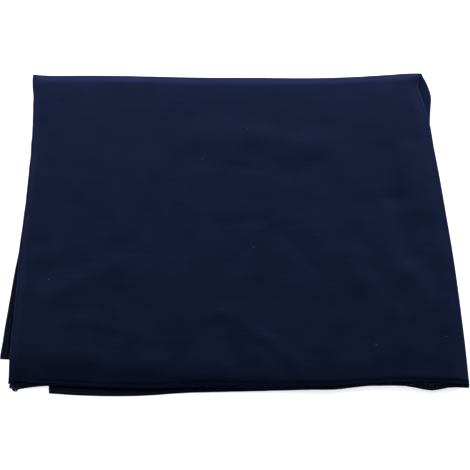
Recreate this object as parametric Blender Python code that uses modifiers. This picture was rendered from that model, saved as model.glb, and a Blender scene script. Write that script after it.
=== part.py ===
"""Swaddle wrap: a square of plain jersey, folded in quarters and laid flat.

The wrap is one cloth and one closed solid. It starts as the flat square cut. The first fold
turns the cut about a crease on the right, and the second turns that pair of leaves about a
crease at the back, so that four leaves lie one over the other, a little apart. Their free edges
are at the left and at the front, where they don't quite meet. Metres, +Z up. The origin is in
the middle of the underside.
"""

import math
from collections import namedtuple

import bmesh
import bpy

# The cut and its leaves, in metres
CUT_SIDE = 0.800
HALF_CUT = CUT_SIDE / 2
SHEET = 0.0013
PITCH = 0.0029

# How far the leaves are pressed together at each side, as shares of the pitch: a long slope and a
# rounded shoulder, and how far in each one starts
Press = namedtuple("Press", "slope slope_reach shoulder shoulder_reach")
BACK_PRESS = Press(0.12, 0.040, 0.27, 0.016)
RIGHT_PRESS = Press(0.04, 0.030, 0.20, 0.013)
LEFT_PRESS = Press(0.04, 0.030, 0.24, 0.008)
FRONT_PRESS = Press(0.12, 0.032, 0.16, 0.006)

# How far past the edge of the leaf under it a leaf needs to come down to the next one
SAG_REACH = 0.031

# Cells of the grid across the far leaves, round a fold and across the near leaves
FAR_CELLS = 14
FOLD_CELLS = 8
NEAR_CELLS = 20
EDGE_GRADING = 0.30

# The leaves from the top down, by the names that the tables' columns use
LEAVES = ("top", "second", "third", "bottom")

# x of the creases on the right and of the leaves' left edges, at distances in from the back
Side = namedtuple("Side", "from_back upper_crease lower_crease top second third bottom")
SIDES = (
    Side(0.000, 0.1960, 0.1960, -0.2060, -0.2050, -0.2050, -0.2060),
    Side(0.010, 0.1918, 0.1992, -0.2056, -0.2040, -0.2030, -0.2040),
    Side(0.020, 0.1893, 0.2013, -0.2048, -0.2030, -0.2010, -0.2030),
    Side(0.032, 0.1911, 0.2028, -0.2031, -0.2015, -0.1990, -0.2015),
    Side(0.050, 0.1943, 0.2008, -0.2020, -0.2000, -0.1960, -0.2000),
    Side(0.075, 0.1976, 0.1982, -0.2004, -0.1980, -0.1920, -0.1980),
    Side(0.110, 0.1992, 0.1968, -0.1992, -0.1965, -0.1880, -0.1970),
    Side(0.150, 0.2015, 0.1980, -0.1987, -0.1955, -0.1840, -0.1965),
    Side(0.200, 0.2037, 0.1998, -0.1988, -0.1960, -0.1790, -0.1970),
    Side(0.245, 0.2056, 0.2015, -0.1996, -0.1970, -0.1750, -0.1987),
    Side(0.280, 0.2065, 0.2026, -0.1980, -0.1962, -0.1715, -0.2015),
    Side(0.320, 0.2070, 0.2034, -0.1976, -0.1950, -0.1675, -0.2033),
    Side(0.360, 0.2072, 0.2038, -0.1974, -0.1940, -0.1635, -0.2050),
    Side(0.400, 0.2068, 0.2040, -0.1962, -0.1952, -0.1600, -0.2062),
)

# y of the crease at the back and of the leaves' front edges, at distances in from the right
Front = namedtuple("Front", "from_right back_crease top second third bottom")
FRONTS = (
    Front(0.000, 0.2052, -0.1995, -0.2010, -0.1980, -0.1975),
    Front(0.018, 0.2045, -0.1981, -0.2008, -0.1984, -0.1976),
    Front(0.032, 0.2029, -0.1975, -0.2035, -0.1990, -0.1980),
    Front(0.048, 0.2014, -0.1969, -0.2013, -0.1976, -0.1965),
    Front(0.065, 0.1999, -0.1963, -0.1984, -0.1976, -0.1945),
    Front(0.095, 0.1983, -0.1975, -0.2003, -0.1978, -0.1940),
    Front(0.120, 0.1977, -0.1992, -0.2025, -0.2002, -0.1930),
    Front(0.175, 0.1983, -0.1989, -0.2018, -0.2022, -0.1900),
    Front(0.230, 0.1986, -0.1993, -0.2001, -0.2031, -0.1850),
    Front(0.270, 0.1999, -0.2000, -0.2003, -0.2040, -0.1800),
    Front(0.315, 0.2013, -0.1993, -0.1995, -0.2069, -0.1750),
    Front(0.350, 0.2015, -0.1979, -0.1979, -0.2071, -0.1704),
    Front(0.380, 0.2014, -0.1953, -0.1982, -0.2058, -0.1678),
    Front(0.391, 0.2020, -0.1932, -0.1996, -0.2048, -0.1670),
    Front(0.400, 0.2035, -0.1954, -0.1986, -0.2042, -0.1664),
)

# The main creases, which go through all the leaves, from the middle of the wrap. A trough's rise
# is negative.
Crease = namedtuple("Crease", "x0 y0 x1 y1 rise width")
CREASES = (
    Crease(-0.030, 0.108, 0.015, 0.107, 0.0006, 0.018),
    Crease(0.030, 0.106, 0.088, 0.090, 0.0011, 0.019),
    Crease(0.171, 0.085, 0.176, 0.000, 0.0008, 0.011),
    Crease(0.152, 0.088, 0.152, 0.021, -0.0010, 0.011),
    Crease(0.152, 0.021, 0.158, -0.054, -0.0013, 0.011),
    Crease(0.100, -0.050, 0.113, -0.085, 0.0006, 0.012),
    Crease(0.113, -0.085, 0.136, -0.124, 0.0007, 0.012),
    Crease(0.145, -0.056, 0.173, -0.110, 0.0006, 0.012),
    Crease(-0.168, -0.102, -0.110, -0.068, 0.0009, 0.015),
    Crease(-0.024, -0.136, -0.052, -0.178, -0.0005, 0.008),
    Crease(-0.010, -0.122, 0.024, -0.148, 0.0005, 0.007),
    Crease(0.024, -0.148, 0.054, -0.183, 0.0005, 0.007),
)


def smooth_step(share):
    """Runs from 0 to 1 with level ends, and stays there outside them."""
    held = min(max(share, 0.0), 1.0)
    return held * held * (3 - 2 * held)


def pressed(press, inwards):
    """How much of the pitch a press takes away at a distance in from its side."""
    left_over = max(1 - inwards / press.slope_reach, 0.0)
    shoulder = press.shoulder * (1 - smooth_step(inwards / press.shoulder_reach))
    return press.slope * left_over * left_over + shoulder


def slope_at(rows, column, i):
    """The slope of a table's column at a row, from the rows on either side of it."""
    before = rows[max(i - 1, 0)]
    after = rows[min(i + 1, len(rows) - 1)]
    return (getattr(after, column) - getattr(before, column)) / (after[0] - before[0])


def along(rows, column, at):
    """A table's column at any distance: a smooth curve through its rows."""
    i = 0
    while i < len(rows) - 2 and rows[i + 1][0] < at:
        i += 1
    step = rows[i + 1][0] - rows[i][0]
    t = min(max((at - rows[i][0]) / step, 0.0), 1.0)
    start = getattr(rows[i], column)
    end = getattr(rows[i + 1], column)
    leave = slope_at(rows, column, i) * step
    arrive = slope_at(rows, column, i + 1) * step
    bend = 2 * start - 2 * end + leave + arrive
    lean = -3 * start + 3 * end - 2 * leave - arrive
    return ((bend * t + lean) * t + leave) * t + start


def crease_relief(x, y):
    """How far the creases lift or lower the stack of leaves at a point."""
    lift = 0.0
    for crease in CREASES:
        run_x = crease.x1 - crease.x0
        run_y = crease.y1 - crease.y0
        length = math.hypot(run_x, run_y)
        share = ((x - crease.x0) * run_x + (y - crease.y0) * run_y) / length**2
        held = min(max(share, 0.0), 1.0)
        off_x = x - crease.x0 - held * run_x
        off_y = y - crease.y0 - held * run_y
        away = math.hypot(off_x, off_y) / crease.width
        lift += crease.rise * math.exp(-away * away)
    return lift


def local_pitch(from_right, from_back):
    """The distance from leaf to leaf: less at the pressed sides, and changed by the creases."""
    across = pressed(RIGHT_PRESS, from_right) + pressed(LEFT_PRESS, HALF_CUT - from_right)
    lengthways = pressed(BACK_PRESS, from_back) + pressed(FRONT_PRESS, HALF_CUT - from_back)
    lift = crease_relief(HALF_CUT / 2 - from_right, HALF_CUT / 2 - from_back)
    both = (across**4 + lengthways**4) ** 0.25
    return PITCH * (1 - both) + lift / (len(LEAVES) - 1)


def leaf_of(p, q):
    """Which leaf a point of the cut ends up in: its near half makes the top and the bottom one."""
    if q >= 0:
        return "top" if p >= 0 else "second"
    return "bottom" if p >= 0 else "third"


def overhang(leaf, x, y, from_right, from_back):
    """How far a point lies outside a leaf, past its left or its front edge."""
    past_left = max(along(SIDES, leaf, from_back) - x, 0.0)
    past_front = max(along(FRONTS, leaf, from_right) - y, 0.0)
    return math.hypot(past_left, past_front)


def sag(leaf, x, y, from_right, from_back, pitch):
    """How far a point comes down where leaves under it have ended."""
    drop = 0.0
    for under in LEAVES[LEAVES.index(leaf) + 1 :]:
        reached = overhang(under, x, y, from_right, from_back) / SAG_REACH
        drop += pitch * smooth_step(reached)
    return drop


def folded(p, q):
    """Takes a point of the flat cut, across and along, to its place in the folded wrap."""
    from_right = abs(p)
    from_back = abs(q)
    leaf = leaf_of(p, q)
    pitch = local_pitch(from_right, from_back)
    crease = "upper_crease" if q >= 0 else "lower_crease"
    right = along(SIDES, crease, from_back) - SHEET / 2
    left = along(SIDES, leaf, from_back)
    back = along(FRONTS, "back_crease", from_right) - SHEET / 2
    front = along(FRONTS, leaf, from_right)

    radius = pitch / 2
    arc = math.pi * radius / 2
    if from_right <= arc:
        x = right - radius * (1 - math.cos(p / radius))
        offset = radius * math.sin(p / radius)
    else:
        share = (from_right - arc) / (HALF_CUT - arc)
        x = right - radius - share * (right - radius - left)
        offset = math.copysign(radius, p)

    arc = math.pi * pitch / 2
    turning_line = back - 1.5 * pitch
    if from_back <= arc:
        y = turning_line + (pitch + offset) * math.cos(q / pitch)
        level = (pitch + offset) * math.sin(q / pitch)
    else:
        share = (from_back - arc) / (HALF_CUT - arc)
        y = turning_line - share * (turning_line - front)
        level = math.copysign(pitch + offset, q)

    z = SHEET / 2 + 1.5 * pitch + level
    return x, y, z - sag(leaf, x, y, from_right, from_back, pitch)


def graded(share):
    """Draws the grid's lines together at both ends of a leaf."""
    return share - EDGE_GRADING * math.sin(2 * math.pi * share) / (2 * math.pi)


def cut_lines():
    """Where the grid's lines cross the flat cut: close together round the fold."""
    arc = math.pi * PITCH / 2
    leaf = HALF_CUT - arc
    far = [-HALF_CUT + leaf * graded(i / FAR_CELLS) for i in range(FAR_CELLS)]
    fold = [-arc + 2 * arc * i / FOLD_CELLS for i in range(FOLD_CELLS)]
    near = [arc + leaf * graded(i / NEAR_CELLS) for i in range(NEAR_CELLS + 1)]
    return far + fold + near


def jersey_material():
    """Navy cotton jersey: a soft knit with no shine."""
    material = bpy.data.materials.new("navy_jersey")
    material.use_nodes = True
    shader = material.node_tree.nodes["Principled BSDF"]
    shader.inputs["Base Color"].default_value = (0.008, 0.012, 0.034, 1.0)
    shader.inputs["Roughness"].default_value = 0.95
    shader.inputs["Metallic"].default_value = 0.0
    return material


def middle_of(vertices, axis):
    """Halfway across the cloth on an axis. Its folds stand out half a sheet past the grid."""
    values = [vertex.co[axis] for vertex in vertices]
    return (min(values) + max(values) + SHEET / 2) / 2


def make_cloth(collection):
    """The flat cut as a grid, folded, centred over the origin and given its thickness."""
    lines = cut_lines()
    cells = len(lines) - 1
    sheet = bmesh.new()
    bmesh.ops.create_grid(sheet, x_segments=cells, y_segments=cells, size=0.5)
    for vertex in sheet.verts:
        across = lines[round((vertex.co.x + 0.5) * cells)]
        lengthways = lines[round((vertex.co.y + 0.5) * cells)]
        vertex.co = folded(across, lengthways)
    centre = (-middle_of(sheet.verts, 0), -middle_of(sheet.verts, 1), 0.0)
    bmesh.ops.translate(sheet, vec=centre, verts=sheet.verts)
    mesh = bpy.data.meshes.new("swaddle_cloth")
    sheet.to_mesh(mesh)
    sheet.free()
    mesh.shade_smooth()
    cloth = bpy.data.objects.new("swaddle_cloth", mesh)
    cloth.data.materials.append(jersey_material())
    collection.objects.link(cloth)
    thickness = cloth.modifiers.new("cloth_thickness", "SOLIDIFY")
    thickness.thickness = SHEET
    thickness.offset = 0.0
    return cloth


def main():
    for leftover in list(bpy.data.objects):
        bpy.data.objects.remove(leftover)
    collection = bpy.data.collections.new("swaddle_wrap")
    bpy.context.scene.collection.children.link(collection)
    make_cloth(collection)


main()
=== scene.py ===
"""Dresses the folded swaddle wrap with its jersey, hem stitching, lint, stage and camera.

The cloth is cut and folded as the frame's solid is: one square, turned about a crease on the
right and then about a crease at the back, so that four leaves lie one over the other. Metres,
+Z up. A point of the flat cut is (p, q): p runs across from the crease on the right and q runs
lengthways from the crease at the back. Both are positive on the top leaf. Side A of the cloth
faces up on the top leaf and on the third one. The hem is turned to side B, which faces up on
the second leaf and on the bottom one.
"""

import math
from collections import namedtuple

import bmesh
import bpy
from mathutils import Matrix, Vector, noise


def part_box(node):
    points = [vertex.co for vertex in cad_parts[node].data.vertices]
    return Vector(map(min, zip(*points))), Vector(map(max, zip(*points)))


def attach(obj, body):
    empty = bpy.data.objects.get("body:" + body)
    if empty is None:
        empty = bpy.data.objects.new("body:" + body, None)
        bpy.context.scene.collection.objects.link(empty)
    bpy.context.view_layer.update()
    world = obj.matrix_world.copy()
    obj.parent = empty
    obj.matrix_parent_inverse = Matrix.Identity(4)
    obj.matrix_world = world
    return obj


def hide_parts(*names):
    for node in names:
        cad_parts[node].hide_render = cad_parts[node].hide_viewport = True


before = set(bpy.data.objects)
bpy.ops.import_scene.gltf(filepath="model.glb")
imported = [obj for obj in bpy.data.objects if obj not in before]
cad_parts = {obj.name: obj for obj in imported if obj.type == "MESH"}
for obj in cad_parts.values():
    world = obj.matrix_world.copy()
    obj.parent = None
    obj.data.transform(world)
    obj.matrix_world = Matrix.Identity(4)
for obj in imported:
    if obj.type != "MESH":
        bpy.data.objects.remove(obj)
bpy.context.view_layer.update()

bl_info = {
    "name": "Folded swaddle wrap",
    "version": (1, 0, 0),
    "blender": (4, 5, 0),
    "location": "3D View > Sidebar > Swaddle",
    "description": "Makes a folded jersey swaddle wrap with its hems, lint, stage and camera",
    "category": "Object",
}

MM = 0.001
CLOTH_NODE = "swaddle_cloth"

# The leaves from the top down, by the names that the tables' columns use
LEAVES = ("top", "second", "third", "bottom")

# x of the creases on the right and of the leaves' left edges, at distances in from the back
Side = namedtuple("Side", "from_back upper_crease lower_crease top second third bottom")
SIDES = (
    Side(0.000, 0.1960, 0.1960, -0.2060, -0.2050, -0.2050, -0.2060),
    Side(0.010, 0.1918, 0.1992, -0.2056, -0.2040, -0.2030, -0.2040),
    Side(0.020, 0.1893, 0.2013, -0.2048, -0.2030, -0.2010, -0.2030),
    Side(0.032, 0.1911, 0.2028, -0.2031, -0.2015, -0.1990, -0.2015),
    Side(0.050, 0.1943, 0.2008, -0.2020, -0.2000, -0.1960, -0.2000),
    Side(0.075, 0.1976, 0.1982, -0.2004, -0.1980, -0.1920, -0.1980),
    Side(0.110, 0.1992, 0.1968, -0.1992, -0.1965, -0.1880, -0.1970),
    Side(0.150, 0.2015, 0.1980, -0.1987, -0.1955, -0.1840, -0.1965),
    Side(0.200, 0.2037, 0.1998, -0.1988, -0.1960, -0.1790, -0.1970),
    Side(0.245, 0.2056, 0.2015, -0.1996, -0.1970, -0.1750, -0.1987),
    Side(0.280, 0.2065, 0.2026, -0.1980, -0.1962, -0.1715, -0.2015),
    Side(0.320, 0.2070, 0.2034, -0.1976, -0.1950, -0.1675, -0.2033),
    Side(0.360, 0.2072, 0.2038, -0.1974, -0.1940, -0.1635, -0.2050),
    Side(0.400, 0.2068, 0.2040, -0.1962, -0.1952, -0.1600, -0.2062),
)

# y of the crease at the back and of the leaves' front edges, at distances in from the right
Front = namedtuple("Front", "from_right back_crease top second third bottom")
FRONTS = (
    Front(0.000, 0.2052, -0.1995, -0.2016, -0.1980, -0.1975),
    Front(0.018, 0.2045, -0.1981, -0.2014, -0.1984, -0.1976),
    Front(0.032, 0.2029, -0.1975, -0.2044, -0.1990, -0.1980),
    Front(0.048, 0.2014, -0.1969, -0.2013, -0.1976, -0.1965),
    Front(0.065, 0.1999, -0.1970, -0.1984, -0.1976, -0.1945),
    Front(0.095, 0.1983, -0.1988, -0.2003, -0.1978, -0.1940),
    Front(0.120, 0.1977, -0.2009, -0.2034, -0.2002, -0.1930),
    Front(0.175, 0.1983, -0.2013, -0.2018, -0.2022, -0.1900),
    Front(0.230, 0.1986, -0.1996, -0.2001, -0.2031, -0.1850),
    Front(0.270, 0.1999, -0.2017, -0.2003, -0.2040, -0.1800),
    Front(0.315, 0.2013, -0.2003, -0.1995, -0.2069, -0.1750),
    Front(0.350, 0.2015, -0.1985, -0.1979, -0.2071, -0.1704),
    Front(0.380, 0.2014, -0.1953, -0.1982, -0.2058, -0.1678),
    Front(0.391, 0.2020, -0.1932, -0.1996, -0.2048, -0.1670),
    Front(0.400, 0.2035, -0.1954, -0.1986, -0.2042, -0.1664),
)

# Creases, from the middle of the wrap: their ends, how far they rise and how wide they are. A
# trough's rise is negative. The main ones go through all the leaves, and the fine ones mark the top
# leaf alone.
Crease = namedtuple("Crease", "x0 y0 x1 y1 rise width")
MAIN_CREASES = (
    Crease(-0.030, 0.108, 0.015, 0.107, 0.0006, 0.018),
    Crease(0.030, 0.106, 0.088, 0.090, 0.0011, 0.019),
    Crease(0.171, 0.085, 0.176, 0.000, 0.0008, 0.011),
    Crease(0.152, 0.088, 0.152, 0.021, -0.0010, 0.011),
    Crease(0.152, 0.021, 0.158, -0.054, -0.0013, 0.011),
    Crease(0.100, -0.050, 0.113, -0.085, 0.0006, 0.012),
    Crease(0.113, -0.085, 0.136, -0.124, 0.0007, 0.012),
    Crease(0.145, -0.056, 0.173, -0.110, 0.0006, 0.012),
    Crease(-0.168, -0.102, -0.110, -0.068, 0.0009, 0.015),
    Crease(-0.024, -0.136, -0.052, -0.178, -0.0005, 0.008),
    Crease(-0.010, -0.122, 0.024, -0.148, 0.0005, 0.007),
    Crease(0.024, -0.148, 0.054, -0.183, 0.0005, 0.007),
)
FINE_CREASES = (
    Crease(-0.035, 0.069, 0.000, 0.066, -0.0002, 0.005),
    Crease(0.000, 0.066, 0.029, 0.061, -0.0003, 0.005),
    Crease(0.083, 0.074, 0.043, 0.043, -0.0004, 0.011),
    Crease(0.043, 0.043, 0.022, 0.031, 0.0004, 0.009),
    Crease(-0.071, 0.052, -0.042, 0.052, 0.0003, 0.005),
    Crease(-0.117, 0.062, -0.090, 0.044, 0.0003, 0.006),
    Crease(-0.016, -0.011, 0.028, -0.008, -0.0003, 0.006),
    Crease(0.032, -0.009, 0.063, 0.000, 0.0003, 0.005),
    Crease(0.038, -0.017, 0.080, -0.080, -0.0003, 0.004),
    Crease(-0.170, -0.142, -0.142, -0.131, 0.0002, 0.006),
    Crease(-0.142, -0.131, -0.110, -0.138, 0.0002, 0.006),
    Crease(-0.110, -0.138, -0.076, -0.151, 0.0002, 0.006),
    Crease(-0.014, -0.138, -0.009, -0.176, -0.0004, 0.006),
)

# How far the leaves are pressed together at each side, as shares of the pitch: a long slope and a
# rounded shoulder, and how far in each one starts
Press = namedtuple("Press", "slope slope_reach shoulder shoulder_reach")
BACK_PRESS = Press(0.12, 0.040, 0.27, 0.016)
RIGHT_PRESS = Press(0.04, 0.030, 0.20, 0.013)
LEFT_PRESS = Press(0.04, 0.030, 0.24, 0.008)
FRONT_PRESS = Press(0.10, 0.032, 0.10, 0.006)

# The seam along the front draws the stack of leaves in
Dip = namedtuple("Dip", "depth inwards width")
SEAM_DIP = Dip(0.50 * MM, 2.2 * MM, 0.9 * MM)

# How far past the edge of the leaf under it a leaf needs to come down to the next one
SAG_REACH = 0.031

# The loose cloth of the top leaf starts this far in from its sides
LOOSE_REACH = 0.015

# Each layer of unevenness: its height as a share of the rumple, and its lengths along x and y
Unevenness = namedtuple("Unevenness", "share length_x length_y")
RUMPLES = (
    Unevenness(1.00, 0.070, 0.060),
    Unevenness(0.25, 0.024, 0.020),
    Unevenness(0.22, 0.060, 0.014),
)
EDGE_WAVE_LENGTH = 0.016

# Places in the noise that are far enough apart for one wave or layer not to repeat another
LAYER_APART = 10.0
FRONT_WAVE_PLACE = 5.0

# Points each way that are folded to find the middle of the wrap, steps to find a place on the top
# leaf, and the distance over which the way that the cloth faces is measured
CENTRING_CELLS = 80
SEARCH_STEPS = 6
FACING_STEP = 0.2 * MM

# The hem from the edge of the cut inwards: how far it is turned, and how full it is. The needle's
# row of stitches pulls it in.
HemLine = namedtuple("HemLine", "inwards turned fullness")
HEM_LINES = (
    HemLine(0.00 * MM, 1.0, 0.20),
    HemLine(0.15 * MM, 1.0, 0.60),
    HemLine(0.40 * MM, 1.0, 0.85),
    HemLine(0.75 * MM, 1.0, 0.98),
    HemLine(1.10 * MM, 1.0, 1.00),
    HemLine(2.30 * MM, 1.0, 0.96),
    HemLine(2.80 * MM, 1.0, 0.86),
    HemLine(3.30 * MM, 1.0, 0.96),
    HemLine(3.80 * MM, 1.0, 1.00),
    HemLine(4.20 * MM, 1.0, 1.00),
    HemLine(5.20 * MM, 1.0, 0.98),
    HemLine(6.00 * MM, 0.8, 0.96),
    HemLine(6.70 * MM, 0.0, 1.00),
    HemLine(7.60 * MM, 0.0, 1.00),
    HemLine(9.20 * MM, 0.0, 1.00),
)

# The hem's edges in the order in which they are sewn: the corner of the cut where each starts and
# the way along it, both in half sides of the cut
CutEdge = namedtuple("CutEdge", "corner_p corner_q way_p way_q")
CUT_EDGES = (
    CutEdge(1, 1, -1, 0),
    CutEdge(-1, 1, 0, -1),
    CutEdge(-1, -1, 1, 0),
    CutEdge(1, -1, 0, 1),
)
SIDE_A = 1
SIDE_B = -1

# How far from a corner of the cut the stitching stops, and how deep it lies in the jersey, as a
# share of its own thickness
CORNER_INSET = 3.0 * MM
SUNK = 0.35

# A needle stitch: shares of the way along it, and heights over the jersey, in thread radii
NEEDLE_STITCH = ((0.08, -1.0), (0.5, 0.6), (0.92, -1.0))

# The loops of the looper thread: where each point lies along its stitch and across its row, both
# as shares, and how far it is lifted, in thicknesses of thread
Loop = namedtuple("Loop", "along across lift")
LOOPS = (
    Loop(0.00, -0.90, 0.0),
    Loop(0.16, -0.35, 0.5),
    Loop(0.34, 0.45, 0.9),
    Loop(0.50, 0.95, 0.2),
    Loop(0.66, 0.55, 0.0),
    Loop(0.84, -0.30, 0.1),
)

# The loose end of the hem's threads at the second leaf's corner: its places, and how far from the
# middle its outer strands lie there, in thread radii. Every second strand is an inner one, and the
# higher strands lean back.
TailPoint = namedtuple("TailPoint", "x y z spread")
TAIL = (
    TailPoint(-0.1925, -0.1965, 0.0050, 1.2),
    TailPoint(-0.1924, -0.1988, 0.0040, 4.0),
    TailPoint(-0.1914, -0.2002, 0.0030, 6.5),
    TailPoint(-0.1902, -0.2006, 0.0028, 7.5),
    TailPoint(-0.1889, -0.2005, 0.0028, 7.5),
    TailPoint(-0.1880, -0.1997, 0.0027, 5.5),
    TailPoint(-0.1872, -0.1992, 0.0026, 3.0),
)
TAIL_STRANDS = 16
TAIL_TWIST = math.radians(75)
INNER_STRAND = 0.45
TAIL_LEAN = 0.8

# Lint on the top leaf: its place, the way it points and how much it bends
Lint = namedtuple("Lint", "x y turn bend")
LINT = (
    Lint(-0.030, 0.076, math.radians(25), 0.5),
    Lint(0.014, 0.118, math.radians(110), -0.3),
    Lint(0.019, -0.040, math.radians(-35), 0.4),
    Lint(-0.169, -0.080, math.radians(60), -0.5),
    Lint(0.190, -0.147, math.radians(15), 0.3),
    Lint(0.127, -0.156, math.radians(140), 0.5),
)
LINT_POINTS = 6

# Cells of the grid across the far leaves, round a fold and across the near leaves
FAR_CELLS = 55
FOLD_CELLS = 16
NEAR_CELLS = 116

# The knit: how far the legs of a stitch slant, in stitches for each wale, and how much of its
# height is the groove between wales
LEG_SLANT = 1.6
GROOVE_SHARE = 0.6

# The wear of the dye: lengths of the paler patches and of the streaks along the courses, the
# streaks' width and their share of the pattern
PATCH_LENGTH = 28 * MM
STREAK_LENGTH = 45 * MM
STREAK_WIDTH = 2.4 * MM
STREAK_SHARE = 0.3

# Painted highlights on the thread: random pale spots that stand in for its lit crests over shaded
# gaps. Their length, and how many times paler the spots are
HIGHLIGHT_SPOT_LENGTH = 2.2 * MM
HIGHLIGHT_SPOT_PALER = 18.0

# How far apart the lint's fibres change in grey, and the greyest one as a share of the palest
LINT_CHANGE = 30 * MM
LINT_DULLEST = 0.4

# The lights: where they stand, their width and height, and their power in watts. They look at the
# middle of the wrap.
Light = namedtuple("Light", "name place width height power")
LIGHTS = (
    Light("overhead_light", (0.0, 0.2, 1.5), 1.2, 0.8, 3.0),
    Light("back_light", (0.0, 1.6, 0.38), 2.0, 0.4, 34.0),
    Light("left_light", (-1.5, 0.1, 0.35), 0.4, 1.2, 18.0),
    Light("right_light", (1.5, 0.1, 0.35), 0.4, 1.2, 20.0),
    Light("front_light", (0.0, -1.2, 1.3), 1.2, 0.6, 2.0),
)
AIR_LIGHT = 0.08
SENSOR_WIDTH_MM = 36.0

# The colour sockets of a Mix node, whose names are the same as those of its other kinds
MIX_COLOUR_A = 6
MIX_COLOUR_B = 7
MIX_COLOUR_OUT = 2


def linear(code):
    """Turns an sRGB hex colour into linear light."""
    channels = []
    for i in (1, 3, 5):
        value = int(code[i : i + 2], 16) / 255
        channels.append(value / 12.92 if value <= 0.04045 else ((value + 0.055) / 1.055) ** 2.4)
    return tuple(channels)


def size(name, description, default):
    """A length that a user may change, in metres."""
    return bpy.props.FloatProperty(
        name=name, description=description, default=default, unit="LENGTH", precision=5
    )


def share(name, description, default):
    """A share between 0 and 1 that a user may change."""
    return bpy.props.FloatProperty(
        name=name, description=description, default=default, min=0.0, max=1.0, subtype="FACTOR"
    )


def colour(name, description, code):
    """A colour that a user may change, from its sRGB hex code."""
    return bpy.props.FloatVectorProperty(
        name=name,
        description=description,
        default=linear(code),
        size=3,
        min=0.0,
        max=1.0,
        subtype="COLOR",
    )


class SwaddleCloth(bpy.types.PropertyGroup):
    """Sizes and colours of the jersey."""

    cut_side: size("Cut side", "Side of the square cut", 0.800)
    sheet: size("Sheet", "Thickness of the jersey", 1.0 * MM)
    hem: size("Hem", "Thickness of the turned hem", 1.6 * MM)
    pitch: size("Pitch", "Distance from leaf to leaf", 3.0 * MM)
    edge_wave: size("Edge wave", "How far the free edges wander", 0.35 * MM)
    rumple: size("Rumple", "Height of the soft unevenness of the top leaf", 0.35 * MM)
    wale: size("Wale", "Width of one column of stitches, drawn coarse", 1.7 * MM)
    course: size("Course", "Height of one row of stitches, drawn coarse", 1.5 * MM)
    knit_depth: size("Knit depth", "Height of the knit's stitches", 0.10 * MM)
    jersey: colour("Jersey", "Colour of the jersey", "#040610")
    jersey_worn: colour("Worn jersey", "Colour of the jersey where it is paler", "#0c1121")
    jersey_sheen: colour("Sheen", "Colour of the fuzz against the light", "#7f9bf9")
    fuzz: share("Fuzz", "How much the fuzz catches the light", 0.31)


class SwaddleStitching(bpy.types.PropertyGroup):
    """Sizes and colours of the hem's stitching."""

    stitch: size("Stitch", "Length of one stitch along the hem", 2.5 * MM)
    needle_thread: size("Needle thread", "Diameter of the thread on side A", 0.30 * MM)
    looper_thread: size("Looper thread", "Diameter of the thread on side B", 0.42 * MM)
    needle_row: size("Needle row", "Distance of the needle's row from the edge", 2.8 * MM)
    outer_row: size("Outer row", "Distance of the outer looper's row from the edge", 1.3 * MM)
    inner_row: size("Inner row", "Distance of the inner looper's row from the edge", 5.0 * MM)
    polyester: colour("Thread colour", "Colour of the thread", "#070910")
    polyester_sheen: colour("Thread sheen", "Colour of the thread's fuzz", "#8b9ccf")
    fuzz: share("Thread fuzz", "How much the thread's fuzz catches the light", 0.12)


class SwaddleLint(bpy.types.PropertyGroup):
    """Sizes and colours of the lint."""

    fibre: size("Fibre", "Diameter of a lint fibre", 0.30 * MM)
    length: size("Length", "Length of a lint fibre", 1.6 * MM)
    cotton: colour("Lint colour", "Colour of the lint", "#9aa0b4")


class SwaddleStage(bpy.types.PropertyGroup):
    """The floor, the lights and the camera."""

    floor_side: size("Floor side", "Side of the floor", 12.0)
    floor_white: colour("Floor colour", "Colour of the floor", "#fbfbfc")
    floor_glow: share("Floor glow", "Light that comes through the white floor from below", 0.77)
    camera_distance: size("Camera distance", "From the lens to the point aimed at", 1.5983)
    camera_rise: bpy.props.FloatProperty(
        name="Camera rise",
        description="Angle of the camera above the horizon",
        default=math.radians(47.647),
        subtype="ANGLE",
    )
    camera_lens: bpy.props.FloatProperty(
        name="Camera lens",
        description="Focal length, in millimetres on a sensor 36 mm wide",
        default=129.83,
    )
    camera_aim: bpy.props.FloatVectorProperty(
        name="Camera aim",
        description="Point that the camera looks at",
        default=(0.0019, -0.0202, 0.005),
        size=3,
        subtype="TRANSLATION",
    )


def smooth_step(share_of):
    """Runs from 0 to 1 with level ends, and stays there outside them."""
    held = min(max(share_of, 0.0), 1.0)
    return held * held * (3 - 2 * held)


def pressed(press, inwards):
    """How much of the pitch a press takes away at a distance in from its side."""
    left_over = max(1 - inwards / press.slope_reach, 0.0)
    shoulder = press.shoulder * (1 - smooth_step(inwards / press.shoulder_reach))
    return press.slope * left_over * left_over + shoulder


def slope_at(rows, column, i):
    """The slope of a table's column at a row, from the rows on either side of it."""
    before = rows[max(i - 1, 0)]
    after = rows[min(i + 1, len(rows) - 1)]
    return (getattr(after, column) - getattr(before, column)) / (after[0] - before[0])


def along(rows, column, at):
    """A table's column at any distance: a smooth curve through its rows."""
    i = 0
    while i < len(rows) - 2 and rows[i + 1][0] < at:
        i += 1
    step = rows[i + 1][0] - rows[i][0]
    t = min(max((at - rows[i][0]) / step, 0.0), 1.0)
    start = getattr(rows[i], column)
    end = getattr(rows[i + 1], column)
    leave = slope_at(rows, column, i) * step
    arrive = slope_at(rows, column, i + 1) * step
    bend = 2 * start - 2 * end + leave + arrive
    lean = -3 * start + 3 * end - 2 * leave - arrive
    return ((bend * t + lean) * t + leave) * t + start


def relief(creases, x, y):
    """How far creases lift or lower the cloth at a point."""
    lift = 0.0
    for crease in creases:
        run_x = crease.x1 - crease.x0
        run_y = crease.y1 - crease.y0
        length = math.hypot(run_x, run_y)
        reached = ((x - crease.x0) * run_x + (y - crease.y0) * run_y) / length**2
        held = min(max(reached, 0.0), 1.0)
        off_x = x - crease.x0 - held * run_x
        off_y = y - crease.y0 - held * run_y
        away = math.hypot(off_x, off_y) / crease.width
        lift += crease.rise * math.exp(-away * away)
    return lift


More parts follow.
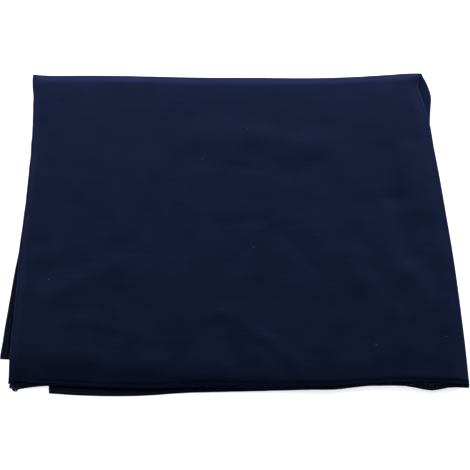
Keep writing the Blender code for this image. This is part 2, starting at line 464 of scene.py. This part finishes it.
def hem_value(column, inwards):
    """A column of the hem's table at a distance in from the edge of the cut."""
    for outer, inner in zip(HEM_LINES, HEM_LINES[1:]):
        if inwards <= inner.inwards:
            reached = max(inwards - outer.inwards, 0.0) / (inner.inwards - outer.inwards)
            start = getattr(outer, column)
            return start + (getattr(inner, column) - start) * reached
    return getattr(HEM_LINES[-1], column)


class Fold:
    """The square cut folded in quarters, as a map from the flat cut to its place."""

    def __init__(self, sizes):
        self.side = sizes.cut_side
        self.half = sizes.cut_side / 2
        self.sheet = sizes.sheet
        self.hem = sizes.hem
        self.pitch = sizes.pitch
        self.edge_wave = sizes.edge_wave
        self.rumple = sizes.rumple
        self.shift = Vector()
        self.shift = self.centring()

    def centring(self):
        """The shift that brings the folded wrap over the frame's solid."""
        steps = [self.side * (i / CENTRING_CELLS - 0.5) for i in range(CENTRING_CELLS + 1)]
        spots = [self.place(p, q) for p in steps for q in steps]
        low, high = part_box(CLOTH_NODE)
        shift = Vector()
        for axis in (0, 1):
            values = [spot[axis] for spot in spots]
            middle = (min(values) + max(values) + self.sheet / 2) / 2
            shift[axis] = (low[axis] + high[axis]) / 2 - middle
        return shift

    def leaf_of(self, p, q):
        """Which leaf a point of the cut ends up in."""
        if q >= 0:
            return "top" if p >= 0 else "second"
        return "bottom" if p >= 0 else "third"

    def local_pitch(self, from_right, from_back):
        """The distance from leaf to leaf: less at the pressed sides, changed by the creases."""
        from_left = self.half - from_right
        from_front = self.half - from_back
        across = pressed(RIGHT_PRESS, from_right) + pressed(LEFT_PRESS, from_left)
        lengthways = pressed(BACK_PRESS, from_back) + pressed(FRONT_PRESS, from_front)
        lift = relief(MAIN_CREASES, self.half / 2 - from_right, self.half / 2 - from_back)
        away = (from_front - SEAM_DIP.inwards) / SEAM_DIP.width
        lift -= SEAM_DIP.depth * math.exp(-away * away)
        both = (across**4 + lengthways**4) ** 0.25
        return self.pitch * (1 - both) + lift / (len(LEAVES) - 1)

    def sag(self, leaf, x, y, from_right, from_back, pitch):
        """How far a point comes down where leaves under it have ended."""
        drop = 0.0
        for under in LEAVES[LEAVES.index(leaf) + 1 :]:
            past_left = max(along(SIDES, under, from_back) - x, 0.0)
            past_front = max(along(FRONTS, under, from_right) - y, 0.0)
            drop += pitch * smooth_step(math.hypot(past_left, past_front) / SAG_REACH)
        return drop

    def unevenness(self, x, y, from_right, from_back):
        """The fine creases and soft bumps of the top leaf, which fade towards its sides."""
        nearest_side = min(from_right, from_back, self.half - from_right, self.half - from_back)
        lift = relief(FINE_CREASES, self.half / 2 - from_right, self.half / 2 - from_back)
        for i, layer in enumerate(RUMPLES):
            spot = Vector((x / layer.length_x, y / layer.length_y, LAYER_APART * i))
            lift += self.rumple * layer.share * noise.noise(spot)
        return lift * smooth_step(nearest_side / LOOSE_REACH)

    def place(self, p, q):
        """Takes a point of the flat cut to its place in the folded wrap."""
        from_right = abs(p)
        from_back = abs(q)
        leaf = self.leaf_of(p, q)
        pitch = self.local_pitch(from_right, from_back)
        crease = "upper_crease" if q >= 0 else "lower_crease"
        right = along(SIDES, crease, from_back) - self.sheet / 2
        left = along(SIDES, leaf, from_back)
        back = along(FRONTS, "back_crease", from_right) - self.sheet / 2
        front = along(FRONTS, leaf, from_right)
        side_spot = Vector((p / self.half, q / EDGE_WAVE_LENGTH, 0.0))
        left += self.edge_wave * noise.noise(side_spot)
        front_spot = Vector((p / EDGE_WAVE_LENGTH, q / self.half, FRONT_WAVE_PLACE))
        front += self.edge_wave * noise.noise(front_spot)

        radius = pitch / 2
        arc = math.pi * radius / 2
        if from_right <= arc:
            x = right - radius * (1 - math.cos(p / radius))
            offset = radius * math.sin(p / radius)
        else:
            reached = (from_right - arc) / (self.half - arc)
            x = right - radius - reached * (right - radius - left)
            offset = math.copysign(radius, p)

        arc = math.pi * pitch / 2
        turning_line = back - 1.5 * pitch
        if from_back <= arc:
            y = turning_line + (pitch + offset) * math.cos(q / pitch)
            level = (pitch + offset) * math.sin(q / pitch)
        else:
            reached = (from_back - arc) / (self.half - arc)
            y = turning_line - reached * (turning_line - front)
            level = math.copysign(pitch + offset, q)

        z = self.sheet / 2 + 1.5 * pitch + level
        z -= self.sag(leaf, x, y, from_right, from_back, pitch)
        if leaf == "top":
            z += self.unevenness(x, y, from_right, from_back)
        return Vector((x, y, z)) + self.shift

    def side_a(self, p, q):
        """The way that side A of the cloth faces at a point of the cut."""
        across = self.place(p + FACING_STEP, q) - self.place(p - FACING_STEP, q)
        lengthways = self.place(p, q + FACING_STEP) - self.place(p, q - FACING_STEP)
        return across.cross(lengthways).normalized()

    def thickness(self, p, q):
        """How thick the cloth is at a point of the cut."""
        inwards = self.half - max(abs(p), abs(q))
        turned = self.sheet + (self.hem - self.sheet) * hem_value("turned", inwards)
        return turned * hem_value("fullness", inwards)

    def hem_shift(self, p, q):
        """How far the hem goes to side B, so that side A stays flush on the outer leaves."""
        inwards = self.half - max(abs(p), abs(q))
        outer_leaf = smooth_step(0.5 + 0.5 * p / LOOSE_REACH)
        return outer_leaf * hem_value("turned", inwards) * (self.hem - self.sheet) / 2

    def middle(self, p, q):
        """The middle of the cloth at a point of the cut. It lies on the surface, never under it."""
        spot = self.place(p, q)
        shift = self.hem_shift(p, q)
        if shift > 0:
            spot -= self.side_a(p, q) * shift
        spot.z = max(spot.z, self.thickness(p, q) / 2)
        return spot

    def skin(self, p, q, side, height, radius):
        """A place at a height over side A or side B, for a thread that stays over the surface."""
        away = self.thickness(p, q) / 2 + height
        spot = self.middle(p, q) + self.side_a(p, q) * side * away
        spot.z = max(spot.z, radius)
        return spot

    def on_hem(self, edge, travelled, inwards):
        """The point of the cut at a distance along one of its edges and a distance in from it."""
        p = edge.corner_p * self.half + edge.way_p * travelled - edge.way_q * inwards
        q = edge.corner_q * self.half + edge.way_q * travelled + edge.way_p * inwards
        return p, q

    def under(self, x, y):
        """The point of the cut that lies on the top leaf at a place seen from above."""
        p = self.half / 2 - x
        q = self.half / 2 - y
        for _ in range(SEARCH_STEPS):
            found = self.place(p, q)
            p += found.x - x
            q += found.y - y
        return p, q


def cut_lines(half, pitch):
    """Where the grid's lines cross the flat cut: close together round the fold and in the hems."""
    arc = math.pi * pitch / 2
    inner = half - HEM_LINES[-1].inwards
    far_hem = [-half + line.inwards for line in HEM_LINES]
    far = [-inner + (inner - arc) * (i + 1) / FAR_CELLS for i in range(FAR_CELLS)]
    fold = [-arc + 2 * arc * (i + 1) / FOLD_CELLS for i in range(FOLD_CELLS)]
    near = [arc + (inner - arc) * (i + 1) / NEAR_CELLS for i in range(NEAR_CELLS)]
    near_hem = [half - line.inwards for line in reversed(HEM_LINES[:-1])]
    return far_hem + far + fold + near + near_hem


def new_object(name, source):
    """Links a piece with a bmesh's shape to the scene. The piece sits at the origin."""
    mesh = bpy.data.meshes.new(name)
    source.to_mesh(mesh)
    source.free()
    piece = bpy.data.objects.new(name, mesh)
    bpy.context.scene.collection.objects.link(piece)
    return piece


def new_thread(name, runs, diameter, material):
    """Lays a thread along runs of places. It rides on the cloth's body."""
    curve = bpy.data.curves.new(name, "CURVE")
    curve.dimensions = "3D"
    curve.bevel_depth = diameter / 2
    curve.bevel_resolution = 0
    curve.use_fill_caps = True
    for run in runs:
        spline = curve.splines.new("POLY")
        spline.points.add(len(run) - 1)
        for point, place in zip(spline.points, run):
            point.co = (*place, 1.0)
    curve.materials.append(material)
    thread = bpy.data.objects.new(name, curve)
    bpy.context.scene.collection.objects.link(thread)
    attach(thread, "root")


def add_node(material, kind, inputs=(), **settings):
    """Adds a node with its settings. Each input is (socket, value or the output that feeds it)."""
    node = material.node_tree.nodes.new(kind)
    for name, value in settings.items():
        setattr(node, name, value)
    for socket, value in inputs:
        if isinstance(value, bpy.types.NodeSocket):
            material.node_tree.links.new(value, node.inputs[socket])
        else:
            node.inputs[socket].default_value = value
    return node


def new_material(name):
    """A node material with a Principled shader, and that shader."""
    material = bpy.data.materials.new(name)
    material.use_nodes = True
    return material, material.node_tree.nodes["Principled BSDF"]


def knit_height(material, sizes):
    """The height of plain knit over the cloth's map: each stitch is a V of two soft legs."""
    cut = sizes.cut_side
    place = add_node(material, "ShaderNodeUVMap")
    axes = add_node(material, "ShaderNodeSeparateXYZ", [("Vector", place.outputs["UV"])])

    def maths(operation, *values):
        inputs = list(enumerate(values))
        return add_node(material, "ShaderNodeMath", inputs, operation=operation).outputs[0]

    wales = maths("MULTIPLY", axes.outputs["X"], cut / sizes.wale)
    from_middle = maths("ABSOLUTE", maths("SUBTRACT", maths("FRACT", wales), 0.5))
    courses = maths("MULTIPLY", axes.outputs["Y"], cut / sizes.course)
    legs = maths("FRACT", maths("ADD", courses, maths("MULTIPLY", from_middle, LEG_SLANT)))
    leg = maths("SINE", maths("MULTIPLY", legs, math.pi))
    groove = maths("SINE", maths("MULTIPLY", from_middle, 2 * math.pi))
    grooved = maths("MULTIPLY", groove, GROOVE_SHARE)
    return maths("MULTIPLY", leg, maths("ADD", grooved, 1 - GROOVE_SHARE))


def jersey_material(sizes):
    """Cotton jersey, piece dyed navy: matt, with a short fuzz that lights up against the light.

    A real wale is about 0.7 mm wide, too fine to show, so the knit is drawn more than twice as
    coarse. Uneven courses give faint streaks across, and washing gives the soft paler patches.
    """
    material, shader = new_material("cotton_jersey")
    shader.inputs["Roughness"].default_value = 0.95
    shader.inputs["Specular IOR Level"].default_value = 0.0
    shader.inputs["Sheen Weight"].default_value = sizes.fuzz
    shader.inputs["Sheen Roughness"].default_value = 0.50
    shader.inputs["Sheen Tint"].default_value = (*sizes.jersey_sheen, 1.0)

    place = add_node(material, "ShaderNodeUVMap")
    patches = add_node(
        material,
        "ShaderNodeTexNoise",
        [("Vector", place.outputs["UV"]), ("Scale", sizes.cut_side / PATCH_LENGTH), ("Detail", 4.0)],
    )
    stretch = (sizes.cut_side / STREAK_LENGTH, sizes.cut_side / STREAK_WIDTH, 1.0)
    streak_place = add_node(
        material,
        "ShaderNodeMapping",
        [("Vector", place.outputs["UV"]), ("Scale", stretch)],
    )
    streaks = add_node(
        material,
        "ShaderNodeTexNoise",
        [("Vector", streak_place.outputs["Vector"]), ("Scale", 1.0), ("Detail", 1.0)],
    )
    wear = add_node(
        material,
        "ShaderNodeMix",
        [
            ("Factor", STREAK_SHARE),
            ("A", patches.outputs["Fac"]),
            ("B", streaks.outputs["Fac"]),
        ],
        data_type="FLOAT",
    )
    spread = add_node(
        material,
        "ShaderNodeMapRange",
        [("Value", wear.outputs["Result"]), ("From Min", 0.32), ("From Max", 0.68)],
    )
    tone = add_node(
        material,
        "ShaderNodeMix",
        [
            ("Factor", spread.outputs["Result"]),
            (MIX_COLOUR_A, (*sizes.jersey, 1.0)),
            (MIX_COLOUR_B, (*sizes.jersey_worn, 1.0)),
        ],
        data_type="RGBA",
    )
    material.node_tree.links.new(tone.outputs[MIX_COLOUR_OUT], shader.inputs["Base Color"])
    knit = add_node(
        material,
        "ShaderNodeBump",
        [("Height", knit_height(material, sizes)), ("Distance", sizes.knit_depth)],
    )
    material.node_tree.links.new(knit.outputs["Normal"], shader.inputs["Normal"])
    return material


def thread_material(sizes):
    """Textured polyester thread, dyed to match: matt, with random pale spots of painted highlight
    that speckle the hem.

    A real thread is about 0.2 mm thick, too fine to show, so the threads are drawn coarser, and so
    are the painted highlight spots.
    """
    material, shader = new_material("polyester_thread")
    place = add_node(material, "ShaderNodeTexCoord")
    # Painted highlight: random pale spots stand in for the lit crests of the thread, and its plain
    # colour stands in for the shaded gaps between them
    highlight_noise = add_node(
        material,
        "ShaderNodeTexNoise",
        [("Vector", place.outputs["Object"]), ("Scale", 1 / HIGHLIGHT_SPOT_LENGTH), ("Detail", 1.0)],
    )
    painted_highlight_spots = add_node(
        material,
        "ShaderNodeMapRange",
        [("Value", highlight_noise.outputs["Fac"]), ("From Min", 0.54), ("From Max", 0.62)],
    )
    pale = tuple(HIGHLIGHT_SPOT_PALER * channel for channel in sizes.polyester)
    tone = add_node(
        material,
        "ShaderNodeMix",
        [
            ("Factor", painted_highlight_spots.outputs["Result"]),
            (MIX_COLOUR_A, (*sizes.polyester, 1.0)),
            (MIX_COLOUR_B, (*pale, 1.0)),
        ],
        data_type="RGBA",
    )
    material.node_tree.links.new(tone.outputs[MIX_COLOUR_OUT], shader.inputs["Base Color"])
    shader.inputs["Roughness"].default_value = 0.7
    shader.inputs["Specular IOR Level"].default_value = 0.05
    shader.inputs["Sheen Weight"].default_value = sizes.fuzz
    shader.inputs["Sheen Roughness"].default_value = 0.50
    shader.inputs["Sheen Tint"].default_value = (*sizes.polyester_sheen, 1.0)
    return material


def lint_material(sizes):
    """Undyed cotton lint: pale and matt, with one fibre greyer than the next."""
    material, shader = new_material("cotton_lint")
    place = add_node(material, "ShaderNodeTexCoord")
    grey = add_node(
        material,
        "ShaderNodeTexNoise",
        [("Vector", place.outputs["Object"]), ("Scale", 1 / LINT_CHANGE)],
    )
    dull = tuple(LINT_DULLEST * channel for channel in sizes.cotton)
    tone = add_node(
        material,
        "ShaderNodeMix",
        [
            ("Factor", grey.outputs["Fac"]),
            (MIX_COLOUR_A, (*dull, 1.0)),
            (MIX_COLOUR_B, (*sizes.cotton, 1.0)),
        ],
        data_type="RGBA",
    )
    material.node_tree.links.new(tone.outputs[MIX_COLOUR_OUT], shader.inputs["Base Color"])
    shader.inputs["Roughness"].default_value = 0.9
    shader.inputs["Specular IOR Level"].default_value = 0.1
    return material


def floor_material(stage):
    """Lit white acrylic: even and matt, and so bright that the shadow on it is faint."""
    material, shader = new_material("lit_white_acrylic")
    shader.inputs["Base Color"].default_value = (*stage.floor_white, 1.0)
    shader.inputs["Roughness"].default_value = 1.0
    shader.inputs["Specular IOR Level"].default_value = 0.0
    shader.inputs["Emission Color"].default_value = (1.0, 1.0, 1.0, 1.0)
    shader.inputs["Emission Strength"].default_value = stage.floor_glow
    return material


def hem_stitches(fold, sizes):
    """Where each stitch along an edge of the hem starts, and how long it is."""
    count = round((fold.side - 2 * CORNER_INSET) / sizes.stitch)
    step = (fold.side - 2 * CORNER_INSET) / count
    return [(CORNER_INSET + step * i, step) for i in range(count)]


def needle_runs(fold, sizes, edge):
    """The short stitches of the needle's row on side A: each dips into the jersey at its ends."""
    runs = []
    radius = sizes.needle_thread / 2
    for start, step in hem_stitches(fold, sizes):
        run = []
        for along_stitch, height in NEEDLE_STITCH:
            p, q = fold.on_hem(edge, start + step * along_stitch, sizes.needle_row)
            run.append(fold.skin(p, q, SIDE_A, radius * height, radius))
        runs.append(run)
    return runs


def looper_run(fold, sizes, edge, row, reach):
    """One looper thread on side B: it swings across its row once in every stitch."""
    run = []
    thread = sizes.looper_thread
    for start, step in hem_stitches(fold, sizes):
        for loop in LOOPS:
            travelled = start + step * loop.along
            p, q = fold.on_hem(edge, travelled, row + reach * loop.across)
            run.append(fold.skin(p, q, SIDE_B, thread * (loop.lift + 0.5 - SUNK), thread / 2))
    return run


def tail_strand(turn, reach):
    """One strand of the loose end: it winds round the others along the tail's places."""
    strand = []
    for i, point in enumerate(TAIL):
        angle = turn + TAIL_TWIST * i
        out = reach * point.spread
        rise = math.sin(angle) * out
        offset = Vector((math.cos(angle) * out, TAIL_LEAN * rise, rise))
        strand.append(Vector((point.x, point.y, point.z)) + offset)
    return strand


def lint_run(fold, sizes, lint):
    """A bent fibre that lies on the top leaf."""
    run = []
    for i in range(LINT_POINTS):
        reached = i / (LINT_POINTS - 1) - 0.5
        turn = lint.turn + 2 * lint.bend * reached
        x = lint.x + sizes.length * reached * math.cos(turn)
        y = lint.y + sizes.length * reached * math.sin(turn)
        p, q = fold.under(x, y)
        run.append(fold.skin(p, q, SIDE_A, sizes.fibre / 2, sizes.fibre / 2))
    return run


class OBJECT_OT_swaddle_stitching(bpy.types.Operator):
    """Sew the hem: a row of needle thread on side A, and the loopers' threads on side B"""

    bl_idname = "object.swaddle_stitching"
    bl_label = "Hem stitching"

    def execute(self, context):
        sizes = context.scene.swaddle_stitching
        fold = Fold(context.scene.swaddle_cloth)
        material = thread_material(sizes)
        needle = []
        for edge in CUT_EDGES:
            needle += needle_runs(fold, sizes, edge)
        new_thread("needle_stitches", needle, sizes.needle_thread, material)
        rows = (sizes.outer_row, sizes.inner_row)
        reach = (sizes.inner_row - sizes.outer_row) / 2
        for name, row in zip(("outer_looper_thread", "inner_looper_thread"), rows):
            runs = [looper_run(fold, sizes, edge, row, reach) for edge in CUT_EDGES]
            new_thread(name, runs, sizes.looper_thread, material)
        strands = []
        for i in range(TAIL_STRANDS):
            reach = sizes.looper_thread / 2 * (INNER_STRAND if i % 2 else 1.0)
            strands.append(tail_strand(2 * math.pi * i / TAIL_STRANDS, reach))
        new_thread("thread_end", strands, sizes.looper_thread, material)
        return {"FINISHED"}


class OBJECT_OT_swaddle_lint(bpy.types.Operator):
    """Drop the lint on the top leaf"""

    bl_idname = "object.swaddle_lint"
    bl_label = "Lint"

    def execute(self, context):
        sizes = context.scene.swaddle_lint
        fold = Fold(context.scene.swaddle_cloth)
        runs = [lint_run(fold, sizes, lint) for lint in LINT]
        new_thread("lint", runs, sizes.fibre, lint_material(sizes))
        return {"FINISHED"}


class OBJECT_OT_swaddle_cloth(bpy.types.Operator):
    """Cut, fold and hem the jersey"""

    bl_idname = "object.swaddle_cloth"
    bl_label = "Jersey cloth"

    def execute(self, context):
        sizes = context.scene.swaddle_cloth
        fold = Fold(sizes)
        lines = cut_lines(fold.half, fold.pitch)
        cells = len(lines) - 1
        sheet = bmesh.new()
        bmesh.ops.create_grid(sheet, x_segments=cells, y_segments=cells, size=0.5, calc_uvs=True)
        sheet.verts.ensure_lookup_table()
        flat = []
        for vertex in sheet.verts:
            p = lines[round((vertex.co.x + 0.5) * cells)]
            q = lines[round((vertex.co.y + 0.5) * cells)]
            flat.append((p, q))
            vertex.co = fold.middle(p, q)
        uv_layer = sheet.loops.layers.uv.verify()
        for face in sheet.faces:
            for loop in face.loops:
                p, q = flat[loop.vert.index]
                loop[uv_layer].uv = (0.5 + p / sizes.cut_side, 0.5 + q / sizes.cut_side)
        cloth = new_object("jersey_cloth", sheet)
        cloth.data.shade_smooth()
        cloth.data.materials.append(jersey_material(sizes))
        fullness = cloth.vertex_groups.new(name="fullness")
        thickest = sizes.hem * max(line.fullness for line in HEM_LINES)
        for index, (p, q) in enumerate(flat):
            fullness.add([index], fold.thickness(p, q) / thickest, "REPLACE")
        thickness = cloth.modifiers.new("jersey_thickness", "SOLIDIFY")
        thickness.thickness = thickest
        thickness.offset = 0.0
        thickness.vertex_group = fullness.name
        thickness.thickness_vertex_group = 0.0
        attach(cloth, "root")
        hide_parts(CLOTH_NODE)
        return {"FINISHED"}


class OBJECT_OT_swaddle_stage(bpy.types.Operator):
    """Add the floor, the lights and the camera"""

    bl_idname = "object.swaddle_stage"
    bl_label = "Stage and camera"

    def execute(self, context):
        stage = context.scene.swaddle_stage
        floor = bmesh.new()
        bmesh.ops.create_grid(floor, x_segments=1, y_segments=1, size=stage.floor_side / 2)
        floor = new_object("floor", floor)
        floor.data.materials.append(floor_material(stage))

        for light in LIGHTS:
            data = bpy.data.lights.new(light.name, "AREA")
            data.shape = "RECTANGLE"
            data.size = light.width
            data.size_y = light.height
            data.energy = light.power
            lamp = bpy.data.objects.new(light.name, data)
            lamp.location = light.place
            lamp.rotation_euler = (-Vector(light.place)).to_track_quat("-Z", "Y").to_euler()
            context.scene.collection.objects.link(lamp)

        world = bpy.data.worlds.new("studio_air")
        world.use_nodes = True
        air = world.node_tree.nodes["Background"]
        air.inputs["Color"].default_value = (1.0, 1.0, 1.0, 1.0)
        air.inputs["Strength"].default_value = AIR_LIGHT
        context.scene.world = world
        context.scene.view_settings.view_transform = "Standard"

        rise = stage.camera_rise
        away = Vector((0.0, -math.cos(rise), math.sin(rise)))
        data = bpy.data.cameras.new("photo_camera")
        data.sensor_width = SENSOR_WIDTH_MM
        data.lens = stage.camera_lens
        camera = bpy.data.objects.new("photo_camera", data)
        camera.location = Vector(stage.camera_aim) + away * stage.camera_distance
        camera.rotation_euler = (-away).to_track_quat("-Z", "Y").to_euler()
        context.scene.collection.objects.link(camera)
        context.scene.camera = camera
        return {"FINISHED"}


class VIEW3D_PT_swaddle(bpy.types.Panel):
    """Lists the pieces of the swaddle wrap"""

    bl_label = "Folded swaddle wrap"
    bl_space_type = "VIEW_3D"
    bl_region_type = "UI"
    bl_category = "Swaddle"

    def draw(self, context):
        for operator in OPERATORS:
            self.layout.operator(operator.bl_idname)


GROUPS = {
    "swaddle_cloth": SwaddleCloth,
    "swaddle_stitching": SwaddleStitching,
    "swaddle_lint": SwaddleLint,
    "swaddle_stage": SwaddleStage,
}
OPERATORS = (
    OBJECT_OT_swaddle_stitching,
    OBJECT_OT_swaddle_cloth,
    OBJECT_OT_swaddle_lint,
    OBJECT_OT_swaddle_stage,
)


def register():
    for group in GROUPS.values():
        bpy.utils.register_class(group)
    for operator in OPERATORS:
        bpy.utils.register_class(operator)
    bpy.utils.register_class(VIEW3D_PT_swaddle)
    for name, group in GROUPS.items():
        setattr(bpy.types.Scene, name, bpy.props.PointerProperty(type=group))


def unregister():
    for name in GROUPS:
        delattr(bpy.types.Scene, name)
    bpy.utils.unregister_class(VIEW3D_PT_swaddle)
    for operator in reversed(OPERATORS):
        bpy.utils.unregister_class(operator)
    for group in reversed(GROUPS.values()):
        bpy.utils.unregister_class(group)


def main():
    register()
    bpy.ops.object.swaddle_stitching()
    bpy.ops.object.swaddle_cloth()
    bpy.ops.object.swaddle_lint()
    bpy.ops.object.swaddle_stage()


if __name__ == "__main__":
    main()
